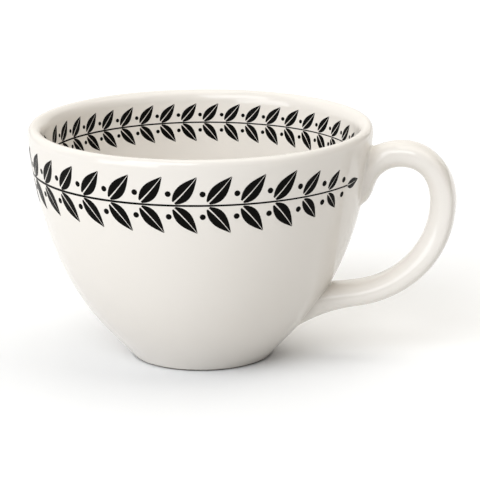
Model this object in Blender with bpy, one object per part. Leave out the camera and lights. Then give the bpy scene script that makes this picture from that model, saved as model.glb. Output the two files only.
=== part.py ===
"""Large glazed stoneware coffee cup: a turned bowl, a cast ear handle and the slip joints that bond them.

Lengths are in metres and +Z is up. The cup stands on z = 0, its handle points along +X, and the origin lies
under the middle of the whole cup. Outlines are drawn as points (distance from the bowl's axis, height).
"""

import collections
import math

import bmesh
import bpy
import numpy as np

# Bowl
RIM_RADIUS = 0.060
HEIGHT = 0.0825
WALL = 0.0052
LIP_TOP_INSET = 0.0019
LIP_OUTER_DEPTH = 0.0029
LIP_INNER_DEPTH = 0.0040
RIM_FLARE = math.radians(5.5)
BELLY_PULL = 0.0552
FOOT_RADIUS = 0.0248
FOOT_ROUNDING = 0.0006
FOOT_SLOPE = math.radians(52)
FOOT_PULL = 0.0140
FOOT_RING_WIDTH = 0.0040
RECESS_DEPTH = 0.0018
RECESS_ROUNDING = 0.0012
FLOOR_THICKNESS = 0.0052
FLOOR_BLEND_HEIGHT = 0.0120
FLOOR_BLEND_PULL = 0.0100
FLOOR_FLAT = 0.0100

# Handle loop: drops are measured down from the rim's top, and outs sideways from the rim or the wall
REACH = 0.0292
HANDLE_THICKNESS = 0.0089
HANDLE_WIDTH = 0.0122
LOOP_SQUARENESS = 2.3
LOOP_TOP_DROP = 0.0039
LOOP_TOP_OUT = 0.0108
LOOP_SIDE_DROP = 0.0248
RUN_LIFT = 0.0241
RUN_OUT = 0.0108
RUN_SLOPE = math.radians(10)
RUN_THICKNESS = 0.0080
RUN_WIDTH = 0.0170
RUN_SQUARENESS = 3.4

# Upper root, a tongue that lies down the wall below the lip
UPPER_ROOT_DROP = 0.0065
UPPER_ROOT_SLOPE = math.radians(20)
UPPER_ROOT_WIDTH = 0.0128
NECK_OUT = 0.0028
TONGUE_DROP = 0.0200
TONGUE_THICKNESS = 0.0034
TONGUE_SLOPE = math.radians(72)
TOE_DROP = 0.0270
TOE_SLOPE = math.radians(31)

# Lower root, which spreads down the wall towards the foot
LOWER_ROOT_LIFT = 0.0264
LOWER_ROOT_SLOPE = math.radians(2)
LOWER_ROOT_WIDTH = 0.0203
TIP_LIFT = 0.0132
TIP_SLOPE = math.radians(32)

# Slip joints
CLEARANCE = 0.0003
SLIP_THICKNESS = 0.0006
SLIP_OVERLAP = 0.0006

# How far the handle runs on into the wall before it is trimmed, and how far the trimming solid overshoots
ROOT_SINK = 0.0049
TRIM_MARGIN = 0.010

# Curve ease: the share of the chord that pulls a curve straight on at both ends. 0.39 makes a quarter turn
# nearly round. The inner edge is blunter at its toe and its top, and a little tighter on the way to the run.
EASE = 0.39
TOE_EASE = 0.50
INNER_TOP_EASE = 0.45
INNER_RUN_EASE = 0.365

# The pull that makes a quarter turn round, as a share of its two sides
ROUND_PULL = 0.552

# Facets
TURN_STEPS = 64
WALL_STEPS = 12
FINE_STEPS = 400
LIP_STEPS = 5
FLOOR_STEPS = 5
ROUNDING_STEPS = 3
RAIL_STEPS = 7
SECTION_SIDES = 20

MERGE_DISTANCE = 0.00001

# Finishes
CREAM_GLAZE = (0.80, 0.77, 0.72, 1.0)
GLAZE_ROUGHNESS = 0.12
PALE_SLIP = (0.72, 0.68, 0.62, 1.0)
SLIP_ROUGHNESS = 0.5

# A place that the handle passes: its two edges there, how each slopes, its full width, how square its section
# is (2 is an ellipse), and the ease of the inner edge on the way to the next place
Place = collections.namedtuple(
    "Place", "outer outer_slope inner inner_slope width squareness inner_ease", defaults=[EASE]
)
# A section across the handle: its middle, half its thickness as a vector, half its width, and its squareness
Section = collections.namedtuple("Section", "middle reach half_width squareness")


def heading(angle):
    """Unit vector in the outline plane, turned up by the angle from straight outwards."""
    return np.array([math.cos(angle), math.sin(angle)])


def bezier(start, start_pull, end_pull, end, steps):
    """Points of one cubic curve, both ends included."""
    t = np.linspace(0, 1, steps + 1)[:, None]
    near = (1 - t) ** 3 * np.asarray(start) + 3 * (1 - t) ** 2 * t * np.asarray(start_pull)
    return near + 3 * (1 - t) * t**2 * np.asarray(end_pull) + t**3 * np.asarray(end)


def arc(centre, radius, first, last, steps):
    """Points of a circular arc, or of an oval one with a radius for each direction, both ends included."""
    return np.array([centre + radius * heading(angle) for angle in np.linspace(first, last, steps + 1)])


LIP_ROUNDING = np.array([LIP_TOP_INSET, LIP_OUTER_DEPTH])
LIP_CENTRE = np.array([RIM_RADIUS, HEIGHT]) - LIP_ROUNDING
LIP_START = -math.atan(LIP_OUTER_DEPTH / LIP_TOP_INSET * math.tan(RIM_FLARE))


def outer_wall(steps):
    """The bowl's outer wall, from the foot's edge up to where the lip starts to round over."""
    foot_centre = np.array([FOOT_RADIUS - FOOT_ROUNDING, FOOT_ROUNDING])
    foot = foot_centre + FOOT_ROUNDING * heading(FOOT_SLOPE - math.pi / 2)
    lip = LIP_CENTRE + LIP_ROUNDING * heading(LIP_START)
    rise = math.pi / 2 - RIM_FLARE
    return bezier(foot, foot + FOOT_PULL * heading(FOOT_SLOPE), lip - BELLY_PULL * heading(rise), lip, steps)


def offset(points, distance):
    """An outline that runs upwards, moved outwards by the distance, or inwards where it is negative."""
    along = np.gradient(points, axis=0)
    along /= np.linalg.norm(along, axis=1)[:, None]
    return points + distance * np.column_stack([along[:, 1], -along[:, 0]])


OUTER_WALL = outer_wall(FINE_STEPS)
INNER_WALL = offset(OUTER_WALL, -WALL)
INNER_WALL = INNER_WALL[INNER_WALL[:, 1] < HEIGHT - LIP_INNER_DEPTH]


def inner_lip(steps):
    """The lip's inner side, a long rounding from the inner wall to the top of the lip."""
    start, top = INNER_WALL[-1], LIP_CENTRE + (0, LIP_OUTER_DEPTH)
    out, rise = top - start
    up = (start - INNER_WALL[-2]) / np.linalg.norm(start - INNER_WALL[-2])
    return bezier(start, start + ROUND_PULL * rise * up, top - (ROUND_PULL * out, 0), top, steps)


def wall_point(height, out=0.0):
    """The point of the bowl's outer wall at this height, moved sideways out of it."""
    return np.array([np.interp(height, OUTER_WALL[:, 1], OUTER_WALL[:, 0]) + out, height])


def bowl_outline():
    """Half section of the bowl: from the middle of its floor, over the lip, to the middle of its base."""
    outer = outer_wall(WALL_STEPS)
    lip = arc(LIP_CENTRE, LIP_ROUNDING, math.pi / 2, LIP_START, LIP_STEPS)

    floor = np.array([0, RECESS_DEPTH + FLOOR_THICKNESS])
    inner = INNER_WALL[INNER_WALL[:, 1] > floor[1] + FLOOR_BLEND_HEIGHT]
    down = (inner[0] - inner[1]) / np.linalg.norm(inner[0] - inner[1])
    blend = bezier(floor, floor + (FLOOR_FLAT, 0), inner[0] + FLOOR_BLEND_PULL * down, inner[0], FLOOR_STEPS)
    inner = inner[np.linspace(0, len(inner) - 1, WALL_STEPS + 1).round().astype(int)]

    foot_centre = np.array([FOOT_RADIUS - FOOT_ROUNDING, FOOT_ROUNDING])
    foot = arc(foot_centre, FOOT_ROUNDING, FOOT_SLOPE - math.pi / 2, -math.pi / 2, ROUNDING_STEPS)
    ring_inside = FOOT_RADIUS - FOOT_RING_WIDTH
    recess_centre = np.array([ring_inside - RECESS_ROUNDING, RECESS_DEPTH - RECESS_ROUNDING])
    recess = arc(recess_centre, RECESS_ROUNDING, 0, math.pi / 2, ROUNDING_STEPS)
    underside = [[(ring_inside, 0)], recess, [(0, RECESS_DEPTH)]]
    return np.vstack([blend, inner[1:-1], inner_lip(LIP_STEPS), lip[1:], outer[-2:0:-1], foot, *underside])


def layer_outline(near, far):
    """Closed outline of a layer over the bowl's wall, between two distances from it."""
    outer = outer_wall(WALL_STEPS)
    return np.vstack([offset(outer, far)[::-1], offset(outer, near)])


def trim_outline(distance):
    """Half section of a solid that fills the bowl and stands out from its wall by the distance."""
    outer = offset(outer_wall(WALL_STEPS), distance)
    top, bottom = HEIGHT + TRIM_MARGIN, -TRIM_MARGIN
    return np.vstack([[(0, top), (outer[-1, 0], top)], outer[::-1], [(outer[0, 0], bottom), (0, bottom)]])


def handle_places():
    """The places that the handle passes, from inside the wall at its upper root round to its lower root."""
    half = HANDLE_THICKNESS / 2
    top = np.array([RIM_RADIUS + LOOP_TOP_OUT, HEIGHT - LOOP_TOP_DROP - half])
    side = np.array([RIM_RADIUS + REACH - half, HEIGHT - LOOP_SIDE_DROP])
    run = wall_point(RUN_LIFT, RUN_OUT)
    run_half = RUN_THICKNESS / 2 * heading(RUN_SLOPE - math.pi / 2)
    across, up = half * heading(0), half * heading(math.pi / 2)

    root = wall_point(HEIGHT - UPPER_ROOT_DROP)
    root_sunk = root - ROOT_SINK * heading(UPPER_ROOT_SLOPE)
    toe_sunk = wall_point(HEIGHT - TOE_DROP) - ROOT_SINK * heading(TOE_SLOPE)
    neck = root + NECK_OUT * heading(UPPER_ROOT_SLOPE)
    tongue = wall_point(HEIGHT - TONGUE_DROP, TONGUE_THICKNESS)
    tip_sunk = wall_point(TIP_LIFT) - ROOT_SINK * heading(TIP_SLOPE)
    lower_sunk = wall_point(LOWER_ROOT_LIFT) - ROOT_SINK * heading(LOWER_ROOT_SLOPE)

    # The handle runs out from the wall, down at its side and back to the wall
    down, back = -math.pi / 2, -math.pi
    lower_slope = back + LOWER_ROOT_SLOPE
    return [
        Place(root_sunk, UPPER_ROOT_SLOPE, toe_sunk, TOE_SLOPE, UPPER_ROOT_WIDTH, LOOP_SQUARENESS, TOE_EASE),
        Place(neck, UPPER_ROOT_SLOPE, tongue, TONGUE_SLOPE, UPPER_ROOT_WIDTH, LOOP_SQUARENESS),
        Place(top + up, 0, top - up, 0, HANDLE_WIDTH, LOOP_SQUARENESS, INNER_TOP_EASE),
        Place(side + across, down, side - across, down, HANDLE_WIDTH, LOOP_SQUARENESS, INNER_RUN_EASE),
        Place(run + run_half, back + RUN_SLOPE, run - run_half, back + RUN_SLOPE, RUN_WIDTH, RUN_SQUARENESS),
        Place(tip_sunk, back + TIP_SLOPE, lower_sunk, lower_slope, LOWER_ROOT_WIDTH, RUN_SQUARENESS),
    ]


def edge_curve(start, start_slope, end, end_slope, ease):
    """One stretch of a handle edge, between two of the places that it passes."""
    pull = ease * np.linalg.norm(end - start)
    start_pull = start + pull * heading(start_slope)
    end_pull = end - pull * heading(end_slope)
    return bezier(start, start_pull, end_pull, end, RAIL_STEPS)


def handle_sections(places, grow=0.0):
    """Sections from place to place, each grown outwards by the distance."""
    sections = []
    for near, far in zip(places, places[1:]):
        outer = edge_curve(near.outer, near.outer_slope, far.outer, far.outer_slope, EASE)
        inner = edge_curve(near.inner, near.inner_slope, far.inner, far.inner_slope, near.inner_ease)
        for step, (high, low) in enumerate(zip(outer, inner)):
            t = step / RAIL_STEPS
            share = t * t * (3 - 2 * t)
            width = near.width + (far.width - near.width) * share
            squareness = near.squareness + (far.squareness - near.squareness) * share
            reach = (high - low) / 2
            reach *= 1 + grow / np.linalg.norm(reach)
            sections.append(Section((high + low) / 2, reach, width / 2 + grow, squareness))
        if far is not places[-1]:
            sections.pop()
    return sections


def glaze(name, colour, roughness):
    """A plain fired finish."""
    material = bpy.data.materials.new(name)
    material.use_nodes = True
    shader = material.node_tree.nodes["Principled BSDF"]
    shader.inputs["Base Color"].default_value = colour
    shader.inputs["Roughness"].default_value = roughness
    shader.inputs["Metallic"].default_value = 0.0
    return material


def place(name, mesh, frame, material=None):
    """An object on the cup's frame. One with no material is a cutter, which isn't part of the cup."""
    piece = bpy.data.objects.new(name, mesh)
    bpy.context.scene.collection.objects.link(piece)
    piece.parent = frame
    if material:
        mesh.materials.append(material)
    else:
        piece.hide_render = True
        piece.display_type = "WIRE"
    return piece


def turned(name, outline, frame, material=None, closed=False):
    """A solid of revolution about the bowl's axis, from an outline that runs down its outer side."""
    edges = [(i, i + 1) for i in range(len(outline) - 1)]
    if closed:
        edges.append((len(outline) - 1, 0))
    mesh = bpy.data.meshes.new(name)
    mesh.from_pydata([(radius, 0, height) for radius, height in outline], edges, [])
    piece = place(name, mesh, frame, material)
    screw = piece.modifiers.new("Turn", "SCREW")
    screw.steps = screw.render_steps = TURN_STEPS
    screw.use_merge_vertices = True
    screw.merge_threshold = MERGE_DISTANCE
    screw.use_smooth_shade = True
    return piece


def superellipse(angle, squareness):
    """A point of a round outline with a half size of 1: an ellipse at squareness 2, and squarer above it."""
    share = np.array([math.cos(angle), math.sin(angle)])
    return np.sign(share) * abs(share) ** (2 / squareness)


def lofted(name, sections, frame, material):
    """A solid skinned over rounded sections that stand across the handle's plane, with flat ends."""
    shape = bmesh.new()
    angles = np.linspace(0, 2 * math.pi, SECTION_SIDES, endpoint=False)
    rings = []
    for section in sections:
        ring = []
        for angle in angles:
            through, across = superellipse(angle, section.squareness)
            out, height = section.middle + through * section.reach
            ring.append(shape.verts.new((out, across * section.half_width, height)))
        rings.append(ring)
    for ring, following in zip(rings, rings[1:]):
        for i in range(SECTION_SIDES):
            shape.faces.new((ring[i - 1], ring[i], following[i], following[i - 1]))
    shape.faces.new(rings[0])
    shape.faces.new(reversed(rings[-1]))
    bmesh.ops.recalc_face_normals(shape, faces=shape.faces)
    mesh = bpy.data.meshes.new(name)
    shape.to_mesh(mesh)
    shape.free()
    mesh.shade_smooth()
    return place(name, mesh, frame, material)


def combine(piece, tool, operation):
    """Cut a piece with a tool, or keep only what both fill."""
    cut = piece.modifiers.new(tool.name, "BOOLEAN")
    cut.operation = operation
    cut.solver = "EXACT"
    cut.object = tool


for item in list(bpy.data.objects):
    bpy.data.objects.remove(item)

cup = bpy.data.objects.new("cup", None)
cup.location.x = -REACH / 2
bpy.context.scene.collection.objects.link(cup)

cream_glaze = glaze("cream_glaze", CREAM_GLAZE, GLAZE_ROUGHNESS)
fired_slip = glaze("fired_slip", PALE_SLIP, SLIP_ROUGHNESS)

turned("bowl", bowl_outline(), cup, cream_glaze)

slip_layer = turned("slip_layer", layer_outline(CLEARANCE, CLEARANCE + SLIP_THICKNESS), cup, closed=True)
root_trim = turned("root_trim", trim_outline(CLEARANCE + SLIP_THICKNESS + CLEARANCE), cup)

places = handle_places()
handle = lofted("handle", handle_sections(places), cup, cream_glaze)
combine(handle, root_trim, "DIFFERENCE")

for joint_name, ends in (("upper_slip_joint", places[:2]), ("lower_slip_joint", places[-2:])):
    joint = lofted(joint_name, handle_sections(ends, SLIP_OVERLAP), cup, fired_slip)
    combine(joint, slip_layer, "INTERSECT")
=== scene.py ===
"""Looks of a large glazed stoneware coffee cup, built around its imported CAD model.

Lengths are in metres, and +Z is up.
"""

import collections
import math

import bmesh
import bpy
import numpy as np
from mathutils import Matrix, Vector


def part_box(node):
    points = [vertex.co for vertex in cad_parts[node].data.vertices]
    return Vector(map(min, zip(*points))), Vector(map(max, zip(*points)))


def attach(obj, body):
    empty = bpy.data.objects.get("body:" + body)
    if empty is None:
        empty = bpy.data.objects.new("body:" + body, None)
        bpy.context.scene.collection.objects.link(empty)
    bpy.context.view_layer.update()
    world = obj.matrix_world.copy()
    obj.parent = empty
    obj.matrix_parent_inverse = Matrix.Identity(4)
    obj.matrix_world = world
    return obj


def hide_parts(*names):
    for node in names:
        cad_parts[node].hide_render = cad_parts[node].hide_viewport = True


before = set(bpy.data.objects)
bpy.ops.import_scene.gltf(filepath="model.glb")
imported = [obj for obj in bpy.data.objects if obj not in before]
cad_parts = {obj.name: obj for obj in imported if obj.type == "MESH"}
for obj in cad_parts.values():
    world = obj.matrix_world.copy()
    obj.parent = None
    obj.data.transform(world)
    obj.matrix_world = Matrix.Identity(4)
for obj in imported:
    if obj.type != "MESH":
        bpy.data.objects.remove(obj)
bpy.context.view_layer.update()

# Bowl: the body of the cup, pale stoneware clay turned in one piece with its lip, wall and foot ring.
# It is dipped in a warm white glaze, and its foot ring is wiped bare, so that it can't stick in the kiln.
# Outlines are drawn as points (distance from the bowl's axis, height).

bowl_low, bowl_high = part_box("bowl")
AXIS_X = (bowl_low.x + bowl_high.x) / 2
RIM_RADIUS = (bowl_high.x - bowl_low.x) / 2
HEIGHT = bowl_high.z
WALL = 0.0052
LIP_TOP_INSET = 0.0019
LIP_OUTER_DEPTH = 0.0029
LIP_INNER_DEPTH = 0.0040
RIM_FLARE = math.radians(5.5)
BELLY_PULL = 0.0552
FOOT_RADIUS = 0.0250
FOOT_ROUNDING = 0.0010
FOOT_SLOPE = math.radians(52)
FOOT_PULL = 0.0140
FOOT_RING_WIDTH = 0.0040
RECESS_DEPTH = 0.0018
RECESS_ROUNDING = 0.0012
FLOOR_THICKNESS = 0.0052
FLOOR_BLEND_HEIGHT = 0.0120
FLOOR_BLEND_PULL = 0.0100
FLOOR_FLAT = 0.0100

TURN_STEPS = 192
WALL_STEPS = 36
FINE_STEPS = 600
LIP_STEPS = 14
FLOOR_STEPS = 14
ROUNDING_STEPS = 4
MERGE_DISTANCE = 0.000002
ROUND_PULL = 0.552
SHARP_ANGLE = math.radians(45)

GLAZE_TONE = (0.830, 0.798, 0.755, 1)
GLAZE_TONE_THICK = (0.810, 0.774, 0.722, 1)
BARE_CLAY = (0.560, 0.490, 0.400, 1)
# Painted shadow: a dark band on the foot's rounded bottom edge, in place of the shade where the foot meets
# the floor
FOOT_EDGE_PAINTED_SHADOW = (0.100, 0.080, 0.060, 1)
FOOT_EDGE_SHADOW_START = 0.0001
GLAZE_EDGE = (0.0004, 0.0006)
GLAZE_EDGE_WANDER = 0.0002
GLAZE_IOR = 1.5
GLAZE_ROUGHNESS = 0.035
GLAZE_ROUGHNESS_SPREAD = 0.03
CLAY_ROUGHNESS = 0.85
CLOUD_SIZE = 0.030
GLOSS_SPOT_SIZE = 0.012
RIPPLE_SIZE = 0.014
RIPPLE_HEIGHT = 0.00002
GRAIN_SIZE = 0.0009
CLAY_GRAIN_HEIGHT = 0.00006
GLAZE_GRAIN_HEIGHT = 0.0000006


def heading(angle):
    """Unit vector in the outline plane, turned up by the angle from straight outwards."""
    return np.array([math.cos(angle), math.sin(angle)])


def bezier(start, start_pull, end_pull, end, steps):
    """Points of one cubic curve, both ends included."""
    t = np.linspace(0, 1, steps + 1)[:, None]
    near = (1 - t) ** 3 * np.asarray(start) + 3 * (1 - t) ** 2 * t * np.asarray(start_pull)
    return near + 3 * (1 - t) * t**2 * np.asarray(end_pull) + t**3 * np.asarray(end)


def arc(centre, radius, first, last, steps):
    """Points of a circular arc, or of an oval one with a radius for each direction, both ends included."""
    return np.array([centre + radius * heading(angle) for angle in np.linspace(first, last, steps + 1)])


FOOT_CENTRE = np.array([FOOT_RADIUS - FOOT_ROUNDING, FOOT_ROUNDING])
LIP_ROUNDING = np.array([LIP_TOP_INSET, LIP_OUTER_DEPTH])
LIP_CENTRE = np.array([RIM_RADIUS, HEIGHT]) - LIP_ROUNDING
LIP_START = -math.atan(LIP_OUTER_DEPTH / LIP_TOP_INSET * math.tan(RIM_FLARE))


def outer_wall(steps):
    """The bowl's outer wall, from the foot's edge up to where the lip starts to round over."""
    foot = FOOT_CENTRE + FOOT_ROUNDING * heading(FOOT_SLOPE - math.pi / 2)
    lip = LIP_CENTRE + LIP_ROUNDING * heading(LIP_START)
    rise = math.pi / 2 - RIM_FLARE
    return bezier(foot, foot + FOOT_PULL * heading(FOOT_SLOPE), lip - BELLY_PULL * heading(rise), lip, steps)


def offset(points, distance):
    """An outline that runs upwards, moved outwards by the distance, or inwards where it is negative."""
    along = np.gradient(points, axis=0)
    along /= np.linalg.norm(along, axis=1)[:, None]
    return points + distance * np.column_stack([along[:, 1], -along[:, 0]])


OUTER_WALL = outer_wall(FINE_STEPS)
INNER_WALL = offset(OUTER_WALL, -WALL)
INNER_WALL = INNER_WALL[INNER_WALL[:, 1] < HEIGHT - LIP_INNER_DEPTH]


def inner_lip(steps):
    """The lip's inner side, a long rounding from the inner wall to the top of the lip."""
    start, top = INNER_WALL[-1], LIP_CENTRE + (0, LIP_OUTER_DEPTH)
    out, rise = top - start
    up = (start - INNER_WALL[-2]) / np.linalg.norm(start - INNER_WALL[-2])
    return bezier(start, start + ROUND_PULL * rise * up, top - (ROUND_PULL * out, 0), top, steps)


def bowl_outline():
    """Half section of the bowl: from the middle of its floor, over the lip, to the middle of its base."""
    outer = outer_wall(WALL_STEPS)
    lip = arc(LIP_CENTRE, LIP_ROUNDING, math.pi / 2, LIP_START, LIP_STEPS)

    floor = np.array([0, RECESS_DEPTH + FLOOR_THICKNESS])
    inner = INNER_WALL[INNER_WALL[:, 1] > floor[1] + FLOOR_BLEND_HEIGHT]
    down = (inner[0] - inner[1]) / np.linalg.norm(inner[0] - inner[1])
    blend = bezier(floor, floor + (FLOOR_FLAT, 0), inner[0] + FLOOR_BLEND_PULL * down, inner[0], FLOOR_STEPS)
    inner = inner[np.linspace(0, len(inner) - 1, WALL_STEPS + 1).round().astype(int)]

    foot = arc(FOOT_CENTRE, FOOT_ROUNDING, FOOT_SLOPE - math.pi / 2, -math.pi / 2, ROUNDING_STEPS)
    ring_inside = FOOT_RADIUS - FOOT_RING_WIDTH
    recess_centre = np.array([ring_inside - RECESS_ROUNDING, RECESS_DEPTH - RECESS_ROUNDING])
    recess = arc(recess_centre, RECESS_ROUNDING, 0, math.pi / 2, ROUNDING_STEPS)
    underside = [[(ring_inside, 0)], recess, [(0, RECESS_DEPTH)]]
    return np.vstack([blend, inner[1:-1], inner_lip(LIP_STEPS), lip[1:], outer[-2:0:-1], foot, *underside])


def turned(outline):
    """A solid of revolution about the bowl's axis."""
    shape = bmesh.new()
    points = [shape.verts.new((AXIS_X + radius, 0, height)) for radius, height in outline]
    edges = [shape.edges.new(ends) for ends in zip(points, points[1:])]
    bmesh.ops.spin(
        shape,
        geom=points + edges,
        cent=(AXIS_X, 0, 0),
        axis=(0, 0, 1),
        angle=2 * math.pi,
        steps=TURN_STEPS,
        use_merge=True,
    )
    bmesh.ops.remove_doubles(shape, verts=shape.verts, dist=MERGE_DISTANCE)
    bmesh.ops.recalc_face_normals(shape, faces=shape.faces)
    return shape


def finished(name, shape, material):
    """The object of a finished mesh, in place, and smooth but for its corners."""
    mesh = bpy.data.meshes.new(name)
    shape.to_mesh(mesh)
    shape.free()
    mesh.shade_smooth()
    mesh.set_sharp_from_angle(angle=SHARP_ANGLE)
    mesh.materials.append(material)
    piece = bpy.data.objects.new(name, mesh)
    bpy.context.scene.collection.objects.link(piece)
    return piece


class Value:
    """An output of a shader node. Arithmetic on it adds Math nodes, and node() adds any other kind."""

    def __init__(self, socket):
        self.socket = socket

    def node(self, kind, settings, inputs, output=0):
        tree = self.socket.id_data
        made = tree.nodes.new("ShaderNode" + kind)
        for name, setting in settings.items():
            setattr(made, name, setting)
        for name, given in inputs.items():
            if isinstance(given, Value):
                tree.links.new(given.socket, made.inputs[name])
            else:
                made.inputs[name].default_value = given
        return Value(made.outputs[output])

    def combined(self, operation, first, second):
        return self.node("Math", {"operation": operation}, {0: first, 1: second})

    def __add__(self, other):
        return self.combined("ADD", self, other)

    def __sub__(self, other):
        return self.combined("SUBTRACT", self, other)

    def __rsub__(self, other):
        return self.combined("SUBTRACT", other, self)

    def __mul__(self, other):
        return self.combined("MULTIPLY", self, other)

    __radd__ = __add__
    __rmul__ = __mul__


def new_finish(name):
    """A material, its shader's inputs, and the place on the object as a value."""
    material = bpy.data.materials.new(name)
    material.use_nodes = True
    tree = material.node_tree
    place = Value(tree.nodes.new("ShaderNodeTexCoord").outputs["Object"])
    return material, tree.nodes["Principled BSDF"].inputs, place


def feed(value, shader_input):
    """Link a value to an input of its material's shader."""
    value.socket.id_data.links.new(value.socket, shader_input)


def noise(place, size, detail):
    """Soft cloudy variation from 0 to 1, with spots of about this size."""
    return place.node("TexNoise", {}, {"Vector": place, "Scale": 1 / size, "Detail": detail})


def ramp(value, low, high):
    """0 below the low value, 1 above the high one, and a smooth step between them."""
    settings = {"interpolation_type": "SMOOTHSTEP"}
    return value.node("MapRange", settings, {"Value": value, "From Min": low, "From Max": high})


def mixed(factor, first, second):
    """One colour turning into another as the factor goes from 0 to 1."""
    return factor.node("Mix", {"data_type": "RGBA"}, {0: factor, 6: first, 7: second}, output=2)


def white_glaze_finish():
    """Warm white glossy glaze, cloudy in tone and faintly rippled.

    It is wiped off the foot, which is unglazed clay with a painted shadow along its rounded bottom edge.
    """
    material, shader, place = new_finish("white_glaze")
    height = place.node("SeparateXYZ", {}, {"Vector": place}, output="Z")
    clouds = noise(place, CLOUD_SIZE, detail=2)
    grain = noise(place, GRAIN_SIZE, detail=2)
    glazed = ramp(height + (grain - 0.5) * GLAZE_EDGE_WANDER, *GLAZE_EDGE)

    tone = mixed(clouds, GLAZE_TONE, GLAZE_TONE_THICK)
    # Painted shadow: the dark band on the foot's edge, from just above the floor up to where the glaze
    # starts
    clay_and_painted_shadow = mixed(ramp(height, 0, FOOT_EDGE_SHADOW_START), BARE_CLAY, FOOT_EDGE_PAINTED_SHADOW)
    feed(mixed(glazed, clay_and_painted_shadow, tone), shader["Base Color"])
    gloss = GLAZE_ROUGHNESS + GLAZE_ROUGHNESS_SPREAD * noise(place, GLOSS_SPOT_SIZE, detail=3)
    feed(CLAY_ROUGHNESS - glazed * (CLAY_ROUGHNESS - gloss), shader["Roughness"])

    roughened = (1 - glazed) * CLAY_GRAIN_HEIGHT + GLAZE_GRAIN_HEIGHT
    relief = noise(place, RIPPLE_SIZE, detail=1) * RIPPLE_HEIGHT + grain * roughened
    bump = relief.node("Bump", {}, {"Strength": 1.0, "Distance": 1.0, "Height": relief})
    feed(bump, shader["Normal"])
    shader["IOR"].default_value = GLAZE_IOR
    return material


white_glaze = white_glaze_finish()
bowl = finished("cup_bowl", turned(bowl_outline()), white_glaze)
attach(bowl, "root")
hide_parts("bowl")

# Handle: a cast clay ear of oval section, stuck to the bowl with slip before firing.
# Its upper end lies down the wall as a tongue, and its lower end spreads as it meets the wall.
# The glaze fills the corners at both ends with a small round fillet.

handle_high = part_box("handle")[1]
REACH = handle_high.x - bowl_high.x
HANDLE_THICKNESS = 0.0089
HANDLE_WIDTH = 0.0122
LOOP_SQUARENESS = 2.3
LOOP_TOP_DROP = 0.0039
LOOP_TOP_OUT = 0.0108
LOOP_SIDE_DROP = 0.0248
LOOP_SIDE_LEAN = 0.40
RUN_LIFT = 0.0241
RUN_OUT = 0.0108
RUN_SLOPE = math.radians(10)
RUN_THICKNESS = 0.0080
RUN_WIDTH = 0.0170
RUN_SQUARENESS = 2.7
RUN_LEAN = 0.14
UPPER_ROOT_DROP = 0.0065
UPPER_ROOT_SLOPE = math.radians(20)
UPPER_ROOT_WIDTH = 0.0128
NECK_OUT = 0.0028
TONGUE_DROP = 0.0200
TONGUE_THICKNESS = 0.0034
TONGUE_SLOPE = math.radians(72)
TOE_DROP = 0.0270
TOE_SLOPE = math.radians(31)
LOWER_ROOT_LIFT = 0.0264
LOWER_ROOT_SLOPE = math.radians(2)
LOWER_ROOT_WIDTH = 0.0203
LOWER_ROOT_SQUARENESS = 3.4
TIP_LIFT = 0.0132
TIP_SLOPE = math.radians(32)
ROOT_SINK = 0.0049
EASE = 0.39
TOE_EASE = 0.50
INNER_TOP_EASE = 0.45
INNER_RUN_EASE = 0.365

UPPER_FILLET = 0.0014
LOWER_FILLET = 0.0008
FILLET_STEPS = 7
FILLET_RAISE = 0.00001
# Rings past the fillet: how much further out along the wall, and how deep under it
BURIED_RINGS = ((0.0005, 0.00003), (0.0012, 0.0004))

EDGE_STEPS = 80
HANDLE_RINGS = 110
SECTION_SIDES = 64

# A place that the handle passes: its two edges there and how each slopes, its full width, how square its
# section is (2 is an ellipse), the ease of the inner edge on the way to the next place, and how far its
# widest line leans from the middle (0) to the outer edge (1)
PLACE_FIELDS = "outer outer_slope inner inner_slope width squareness inner_ease lean"
Place = collections.namedtuple("Place", PLACE_FIELDS, defaults=[EASE, 0])


def wall_radius(height, wall=OUTER_WALL):
    """Radius of a wall at a height, by default of the bowl's outer wall."""
    return np.interp(height, wall[:, 1], wall[:, 0])


def wall_point(height, out=0):
    """The point of the bowl's outer wall at this height, moved sideways out of it."""
    return np.array([wall_radius(height) + out, height])


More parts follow.
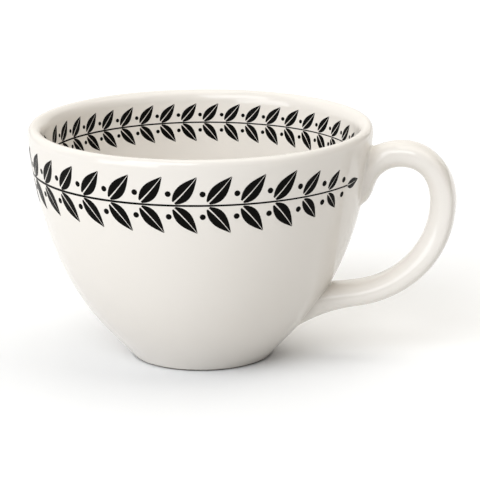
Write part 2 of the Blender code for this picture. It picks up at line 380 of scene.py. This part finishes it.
def handle_places():
    """The places that the handle passes, from inside the wall at its upper root round to its lower root."""
    half = HANDLE_THICKNESS / 2
    top = np.array([RIM_RADIUS + LOOP_TOP_OUT, HEIGHT - LOOP_TOP_DROP - half])
    side = np.array([RIM_RADIUS + REACH - half, HEIGHT - LOOP_SIDE_DROP])
    run = wall_point(RUN_LIFT, RUN_OUT)
    run_half = RUN_THICKNESS / 2 * heading(RUN_SLOPE - math.pi / 2)
    across, up = half * heading(0), half * heading(math.pi / 2)

    root = wall_point(HEIGHT - UPPER_ROOT_DROP)
    root_sunk = root - ROOT_SINK * heading(UPPER_ROOT_SLOPE)
    toe_sunk = wall_point(HEIGHT - TOE_DROP) - ROOT_SINK * heading(TOE_SLOPE)
    neck = root + NECK_OUT * heading(UPPER_ROOT_SLOPE)
    tongue = wall_point(HEIGHT - TONGUE_DROP, TONGUE_THICKNESS)
    tip_sunk = wall_point(TIP_LIFT) - ROOT_SINK * heading(TIP_SLOPE)
    lower_sunk = wall_point(LOWER_ROOT_LIFT) - ROOT_SINK * heading(LOWER_ROOT_SLOPE)

    # The handle runs out from the wall, down at its side and back to the wall
    down, back = -math.pi / 2, -math.pi
    run_slope = back + RUN_SLOPE
    return [
        Place(
            outer=root_sunk,
            outer_slope=UPPER_ROOT_SLOPE,
            inner=toe_sunk,
            inner_slope=TOE_SLOPE,
            width=UPPER_ROOT_WIDTH,
            squareness=LOOP_SQUARENESS,
            inner_ease=TOE_EASE,
        ),
        Place(
            outer=neck,
            outer_slope=UPPER_ROOT_SLOPE,
            inner=tongue,
            inner_slope=TONGUE_SLOPE,
            width=UPPER_ROOT_WIDTH,
            squareness=LOOP_SQUARENESS,
        ),
        Place(
            outer=top + up,
            outer_slope=0,
            inner=top - up,
            inner_slope=0,
            width=HANDLE_WIDTH,
            squareness=LOOP_SQUARENESS,
            inner_ease=INNER_TOP_EASE,
        ),
        Place(
            outer=side + across,
            outer_slope=down,
            inner=side - across,
            inner_slope=down,
            width=HANDLE_WIDTH,
            squareness=LOOP_SQUARENESS,
            inner_ease=INNER_RUN_EASE,
            lean=LOOP_SIDE_LEAN,
        ),
        Place(
            outer=run + run_half,
            outer_slope=run_slope,
            inner=run - run_half,
            inner_slope=run_slope,
            width=RUN_WIDTH,
            squareness=RUN_SQUARENESS,
            lean=RUN_LEAN,
        ),
        Place(
            outer=tip_sunk,
            outer_slope=back + TIP_SLOPE,
            inner=lower_sunk,
            inner_slope=back + LOWER_ROOT_SLOPE,
            width=LOWER_ROOT_WIDTH,
            squareness=LOWER_ROOT_SQUARENESS,
            lean=RUN_LEAN,
        ),
    ]


def edge_curve(start, start_slope, end, end_slope, ease):
    """One stretch of a handle edge, between two of the places that it passes."""
    pull = ease * np.linalg.norm(end - start)
    start_pull = start + pull * heading(start_slope)
    end_pull = end - pull * heading(end_slope)
    return bezier(start, start_pull, end_pull, end, EDGE_STEPS)


def handle_lines(places):
    """Lines along the handle, one for each side of its oval section, as points about the bowl's axis."""
    angles = np.linspace(0, 2 * math.pi, SECTION_SIDES, endpoint=False)
    t = np.linspace(0, 1, EDGE_STEPS + 1)
    stretches = []
    for near, far in zip(places, places[1:]):
        outer = edge_curve(near.outer, near.outer_slope, far.outer, far.outer_slope, EASE)
        inner = edge_curve(near.inner, near.inner_slope, far.inner, far.inner_slope, near.inner_ease)
        share = t * t * (3 - 2 * t)
        widths = near.width + (far.width - near.width) * share
        power = 2 / (near.squareness + (far.squareness - near.squareness) * share)
        lean = near.lean + (far.lean - near.lean) * share
        lines = np.empty((SECTION_SIDES, EDGE_STEPS + 1, 3))
        for line, angle in zip(lines, angles):
            through = np.sign(math.cos(angle)) * abs(math.cos(angle)) ** power
            through += lean * (1 - through**2)
            line[:, [0, 2]] = (outer + inner) / 2 + through[:, None] * (outer - inner) / 2
            line[:, 1] = widths / 2 * np.sign(math.sin(angle)) * abs(math.sin(angle)) ** power
        stretches.append(lines if far is places[-1] else lines[:, :-1])
    return np.concatenate(stretches, axis=1)


def clear_of_wall(points):
    """How far points about the bowl's axis stand out from its outer wall, measured sideways."""
    return np.hypot(points[..., 0], points[..., 1]) - wall_radius(points[..., 2])


def onto_wall(points, out):
    """Points about the bowl's axis, moved sideways to stand this far out from its outer wall."""
    scale = (wall_radius(points[:, 2]) + out) / np.hypot(points[:, 0], points[:, 1])
    return np.column_stack([points[:, 0] * scale, points[:, 1] * scale, points[:, 2]])


def free_stretch(line):
    """The part of a line between the two points where it crosses the wall, which are its ends."""
    clear = clear_of_wall(line)
    outside = np.flatnonzero(clear > 0)
    ends = []
    for free, sunk in ((outside[0], outside[0] - 1), (outside[-1], outside[-1] + 1)):
        share = clear[free] / (clear[free] - clear[sunk])
        ends.append(line[free] + share * (line[sunk] - line[free]))
    return np.vstack([ends[0], line[outside[0] : outside[-1] + 1], ends[1]])


def reached(line):
    """How far along a line each of its points lies."""
    steps = np.linalg.norm(np.diff(line, axis=0), axis=1)
    return np.concatenate([[0], np.cumsum(steps)])


def along_line(line, distances):
    """Points at these distances along a line."""
    return np.column_stack([np.interp(distances, reached(line), values) for values in line.T])


def root_rings(contact, shoulder, radius):
    """Rings of the fillet at one root, from the handle's shoulder onto the wall and then under it."""
    along = np.roll(contact, -1, axis=0) - np.roll(contact, 1, axis=0)
    away = np.cross(along, contact * (1, 1, 0))
    away /= np.linalg.norm(away, axis=1)[:, None]
    if ((contact - contact.mean(axis=0)) * away).sum() < 0:
        away = -away
    toe = onto_wall(contact + radius * away, FILLET_RAISE)
    rings = []
    for t in np.linspace(0, 1, FILLET_STEPS + 1)[1:]:
        rings.append((1 - t) ** 2 * shoulder + 2 * (1 - t) * t * contact + t**2 * toe)
    for further, depth in BURIED_RINGS:
        rings.append(onto_wall(contact + (radius + further) * away, -depth))
    return rings


def handle_rings():
    """Rings round the handle from its upper root to its lower one, each a point for every side."""
    stretches = [free_stretch(line) for line in handle_lines(handle_places())]
    body = []
    for line in stretches:
        end = reached(line)[-1] - LOWER_FILLET
        body.append(along_line(line, np.linspace(UPPER_FILLET, end, HANDLE_RINGS)))
    body = np.array(body).transpose(1, 0, 2)
    upper_contact = np.array([line[0] for line in stretches])
    lower_contact = np.array([line[-1] for line in stretches])
    upper = root_rings(upper_contact, body[0], UPPER_FILLET)
    lower = root_rings(lower_contact, body[-1], LOWER_FILLET)
    return [*upper[::-1], *body, *lower]


def skinned(rings):
    """A closed tube: its first ring as a loop of edges, extruded from ring to ring and capped."""
    shape = bmesh.new()
    side = shape.verts.layers.int.new("side")
    loop = [shape.verts.new((AXIS_X + x, y, z)) for x, y, z in rings[0]]
    for number, corner in enumerate(loop):
        corner[side] = number
    front = [shape.edges.new((loop[number - 1], loop[number])) for number in range(len(loop))]
    shape.faces.new(loop)
    for ring in rings[1:]:
        made = bmesh.ops.extrude_edge_only(shape, edges=front)["geom"]
        for corner in made:
            if isinstance(corner, bmesh.types.BMVert):
                x, y, z = ring[corner[side]]
                corner.co = (AXIS_X + x, y, z)
        front = [edge for edge in made if isinstance(edge, bmesh.types.BMEdge)]
    bmesh.ops.edgeloop_fill(shape, edges=front)
    shape.normal_update()
    bmesh.ops.recalc_face_normals(shape, faces=shape.faces)
    return shape


handle = finished("cup_handle", skinned(handle_rings()), white_glaze)
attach(handle, "root")
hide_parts("handle", "upper_slip_joint", "lower_slip_joint")

# Outer print: two laurel branches in black round the outside of the wall, from the back to the handle.
# They are a ceramic transfer, printed in enamel, which is laid on the glaze and fired into it.
# The prints are drawn flat, X along the stem and Y up the wall, and then bent onto the bowl.

OUTER_PRINT_DROP = 0.0153
OUTER_PRINT_END = math.radians(13)
PRINT_PROUD = 0.00004
PRINT_SUNK = 0.00004

LEAF_LENGTH = 0.0122
LEAF_WIDTH = 0.0050
LEAF_SWELL = 0.80
LEAF_START = 0.04
LEAF_STEPS = 10
LEAF_CURL = 0.0011
LEAF_PITCH = 0.0112
LEAF_SPREAD = math.radians(44)
LEAF_GAP = 0.0007
MIDRIB = 0.00055
MIDRIB_TAPER = 0.75
FIRST_LEAF = 0.0040
END_SHRINK = 0.35
END_PAIRS = 2
STEM_WIDTH = 0.0009
STEM_TIP_WIDTH = 0.0005
STEM_STEPS = 160
BERRY_RADIUS = 0.0010
BERRY_SIDES = 14
BERRY_OUT = 0.0058

PRINT_TONE = (0.0030, 0.0029, 0.0026, 1)
PRINT_TONE_THIN = (0.0065, 0.0062, 0.0056, 1)
PRINT_CLOUD_SIZE = 0.004
PRINT_ROUGHNESS = 0.22
PRINT_ROUGHNESS_SPREAD = 0.10
PRINT_SPOT_SIZE = 0.006
PRINT_SPECULAR = 0.025


def add_leaf(shape, x, y, turn, size):
    """A flat leaf with an open midrib, its base at this point, turned up from the stem."""
    place = Matrix.Translation((x, y, 0)) @ Matrix.Rotation(turn, 4, "Z") @ Matrix.Scale(size, 4)
    for side in (1, -1):
        corners = bmesh.ops.create_grid(shape, x_segments=LEAF_STEPS, y_segments=1, size=0.5)["verts"]
        for corner in corners:
            along = LEAF_START + (1 - LEAF_START) * (corner.co.x + 0.5)
            rib = MIDRIB / 2 * (1 - MIDRIB_TAPER * along)
            blade = LEAF_WIDTH / 2 * math.sin(math.pi * along**LEAF_SWELL)
            across = rib + blade * (corner.co.y + 0.5)
            corner.co = (LEAF_LENGTH * along, side * across + LEAF_CURL * along**2, 0)
        bmesh.ops.transform(shape, matrix=place, verts=corners)


def add_ribbon(shape, start, end, start_width, end_width, steps):
    """A flat ribbon between two points."""
    run = Vector((*end, 0)) - Vector((*start, 0))
    across = Vector((-run.y, run.x, 0)).normalized()
    for corner in bmesh.ops.create_grid(shape, x_segments=steps, y_segments=1, size=0.5)["verts"]:
        along = corner.co.x + 0.5
        width = start_width + (end_width - start_width) * along
        corner.co = Vector((*start, 0)) + run * along + across * (width * corner.co.y)


def add_berry(shape, x, y):
    """A flat round berry."""
    place = Matrix.Translation((x, y, 0))
    bmesh.ops.create_circle(shape, cap_ends=True, radius=BERRY_RADIUS, segments=BERRY_SIDES, matrix=place)


def mirrored(shape, axis):
    """Add the mirror image of everything drawn so far."""
    drawn = shape.verts[:] + shape.edges[:] + shape.faces[:]
    bmesh.ops.mirror(shape, geom=drawn, axis=axis, merge_dist=MERGE_DISTANCE)


def laurel(reach):
    """Two flat branches that run this far from a berry between them, with leaves and berries in pairs."""
    shape = bmesh.new()
    tip_size = 1 - END_SHRINK
    stem = reach - tip_size * LEAF_LENGTH
    pairs = int((stem - FIRST_LEAF) / LEAF_PITCH)
    pitch = (stem - FIRST_LEAF) / pairs
    for number in range(pairs):
        size = min(1, tip_size + END_SHRINK * (pairs - 1 - number) / END_PAIRS)
        x = FIRST_LEAF + pitch * number
        add_leaf(shape, x, LEAF_GAP, LEAF_SPREAD, size)
        out = size * BERRY_OUT
        berry_x = x + pitch / 2 + out * math.cos(LEAF_SPREAD)
        berry_y = out * math.sin(LEAF_SPREAD)
        add_berry(shape, berry_x, berry_y)
    mirrored(shape, "Y")
    add_leaf(shape, stem, 0, 0, tip_size)
    add_ribbon(shape, (BERRY_RADIUS * 2, 0), (stem, 0), STEM_WIDTH, STEM_TIP_WIDTH, STEM_STEPS)
    mirrored(shape, "X")
    add_berry(shape, 0, 0)
    bmesh.ops.remove_doubles(shape, verts=shape.verts, dist=MERGE_DISTANCE)
    return shape


def printed(shape, wall, drop, side):
    """Thicken a flat print and bend it onto a wall, its middle at the back and this far below the rim.

    It stands proud of the wall's outside (1) or of its inside (-1).
    """
    raised = bmesh.ops.extrude_face_region(shape, geom=shape.faces[:])["geom"]
    raised = [corner for corner in raised if isinstance(corner, bmesh.types.BMVert)]
    bmesh.ops.translate(shape, vec=(0, 0, PRINT_PROUD + PRINT_SUNK), verts=raised)
    up_wall = reached(wall)
    out = offset(wall, side) - wall
    middle = np.interp(HEIGHT - drop, wall[:, 1], up_wall)
    round_radius = wall_radius(HEIGHT - drop, wall)
    for corner in shape.verts:
        proud = corner.co.z - PRINT_SUNK
        up = middle + corner.co.y
        radius = np.interp(up, up_wall, wall[:, 0] + proud * out[:, 0])
        height = np.interp(up, up_wall, wall[:, 1] + proud * out[:, 1])
        angle = math.pi + corner.co.x / round_radius
        corner.co = (AXIS_X + radius * math.cos(angle), radius * math.sin(angle), height)
    shape.normal_update()
    bmesh.ops.recalc_face_normals(shape, faces=shape.faces)
    return shape


def print_finish():
    """Black enamel, fired smooth, a little uneven in depth and gloss."""
    material, shader, place = new_finish("black_enamel")
    clouds = noise(place, PRINT_CLOUD_SIZE, detail=3)
    feed(mixed(clouds, PRINT_TONE, PRINT_TONE_THIN), shader["Base Color"])
    spots = noise(place, PRINT_SPOT_SIZE, detail=2)
    feed(PRINT_ROUGHNESS + PRINT_ROUGHNESS_SPREAD * spots, shader["Roughness"])
    shader["Specular IOR Level"].default_value = PRINT_SPECULAR
    return material


black_enamel = print_finish()
outer_round = wall_radius(HEIGHT - OUTER_PRINT_DROP)
garland = laurel((math.pi - OUTER_PRINT_END) * outer_round)
bent = printed(garland, OUTER_WALL, OUTER_PRINT_DROP, side=1)
outer_print = finished("outer_print", bent, black_enamel)
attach(outer_print, "root")

# Inner print: the same two branches, smaller, round the inside of the wall just below the lip.
# They are a second transfer, fired on together with the first one.

INNER_PRINT_DROP = 0.0114
INNER_PRINT_END = math.radians(2)
INNER_PRINT_SCALE = 0.70

inside = np.vstack([INNER_WALL, inner_lip(FINE_STEPS)[1:]])
inner_round = wall_radius(HEIGHT - INNER_PRINT_DROP, inside)
garland = laurel((math.pi - INNER_PRINT_END) * inner_round / INNER_PRINT_SCALE)
bmesh.ops.scale(garland, vec=(INNER_PRINT_SCALE, INNER_PRINT_SCALE, 1), verts=garland.verts)
bent = printed(garland, inside, INNER_PRINT_DROP, side=-1)
inner_print = finished("inner_print", bent, black_enamel)
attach(inner_print, "root")

# Floor: a pale paper sweep that the cup stands on.
# It shows white to the camera and in reflections, and throws a softer light back on the cup.

FLOOR_HALF = 6.0
FLOOR_TONE = (0.955, 0.968, 0.985, 1)
FLOOR_TONE_FAINT = (0.945, 0.958, 0.975, 1)
FLOOR_BOUNCE = (0.750, 0.750, 0.750, 1)
PAPER_CLOUD_SIZE = 0.4
PAPER_ROUGHNESS = 0.9


def seen(tree):
    """1 for what the camera sees, straight or in a reflection, and 0 for light that is thrown back."""
    rays = tree.nodes.new("ShaderNodeLightPath").outputs
    return Value(rays["Is Camera Ray"]) + Value(rays["Is Glossy Ray"]) + Value(rays["Is Transmission Ray"])


def paper_finish():
    """Matt white paper with a faint cloudiness."""
    material, shader, place = new_finish("white_paper")
    tone = mixed(noise(place, PAPER_CLOUD_SIZE, detail=2), FLOOR_TONE, FLOOR_TONE_FAINT)
    feed(mixed(seen(material.node_tree), FLOOR_BOUNCE, tone), shader["Base Color"])
    shader["Roughness"].default_value = PAPER_ROUGHNESS
    shader["Specular IOR Level"].default_value = 0
    return material


paper = bmesh.new()
bmesh.ops.create_grid(paper, x_segments=1, y_segments=1, size=FLOOR_HALF)
floor = finished("floor", paper, paper_finish())

# Light: a low softbox and a higher one at the left front, and three large dim ones behind, at the right
# and overhead, which stand far off so that the floor is lit evenly. The room adds a little light.

ROOM_LIGHT = 0.19
FILL_TONE = (1.035, 1.000, 0.942)
KEY_TONE = (0.975, 1.000, 1.032)
LAMP_DISTANCE = 12.0
HANDLE_TURN = math.radians(11)

world = bpy.data.worlds.new("room")
world.use_nodes = True
room = world.node_tree.nodes["Background"].inputs
room["Color"].default_value = (*FILL_TONE, 1)
room["Strength"].default_value = ROOM_LIGHT
bpy.context.scene.world = world


def softbox(name, tone, brightness, bearing, lift, wide, tall):
    """A soft rectangular lamp, its place and size as angles that the cup sees, in degrees.

    Its bearing runs round from the right of the picture, away from the camera.
    """
    bearing = math.radians(bearing) + HANDLE_TURN
    lift = math.radians(lift)
    data = bpy.data.lights.new(name, "AREA")
    data.shape = "RECTANGLE"
    data.size = 2 * LAMP_DISTANCE * math.tan(math.radians(wide) / 2)
    data.size_y = 2 * LAMP_DISTANCE * math.tan(math.radians(tall) / 2)
    data.energy = brightness * math.pi * data.size * data.size_y
    data.color = tone
    lamp = bpy.data.objects.new(name, data)
    bpy.context.scene.collection.objects.link(lamp)
    level = Vector((math.cos(bearing), math.sin(bearing), 0))
    towards = level * math.cos(lift) + Vector((0, 0, math.sin(lift)))
    lamp.location = LAMP_DISTANCE * towards
    lamp.rotation_euler = towards.to_track_quat("Z", "Y").to_euler()


softbox("low_softbox", KEY_TONE, brightness=3.35, bearing=222, lift=9, wide=42, tall=36)
softbox("high_softbox", KEY_TONE, brightness=3.67, bearing=240, lift=43, wide=43, tall=27)
softbox("back_softbox", FILL_TONE, brightness=0.80, bearing=109, lift=35, wide=110, tall=65)
softbox("right_softbox", FILL_TONE, brightness=0.70, bearing=8, lift=47, wide=62, tall=30)
softbox("top_softbox", FILL_TONE, brightness=1.70, bearing=0, lift=76, wide=44, tall=50)

# Camera: a long lens, which looks a little down on the cup.
# The handle is at the right of the picture, turned slightly towards the camera.

CAMERA_DISTANCE = 0.900
CAMERA_TILT = math.radians(14.72)
CAMERA_ROLL = math.radians(0.35)
CAMERA_LENS = 192.3
AIM_RIGHT = 0.01345
AIM_HEIGHT = 0.04028

right = Vector((math.cos(HANDLE_TURN), math.sin(HANDLE_TURN), 0))
level = Vector((-math.sin(HANDLE_TURN), math.cos(HANDLE_TURN), 0))
forward = level * math.cos(CAMERA_TILT) - Vector((0, 0, math.sin(CAMERA_TILT)))
above = level * math.sin(CAMERA_TILT) + Vector((0, 0, math.cos(CAMERA_TILT)))
aim = Vector((AXIS_X, 0, AIM_HEIGHT)) + AIM_RIGHT * right
rolled_right = right * math.cos(CAMERA_ROLL) - above * math.sin(CAMERA_ROLL)
rolled_above = above * math.cos(CAMERA_ROLL) + right * math.sin(CAMERA_ROLL)
turn = Matrix((rolled_right, rolled_above, -forward)).transposed().to_4x4()

camera_data = bpy.data.cameras.new("camera")
camera_data.lens = CAMERA_LENS
camera = bpy.data.objects.new("camera", camera_data)
camera.matrix_world = Matrix.Translation(aim - CAMERA_DISTANCE * forward) @ turn
bpy.context.scene.collection.objects.link(camera)
bpy.context.scene.camera = camera

bpy.context.scene.view_settings.view_transform = "Standard"
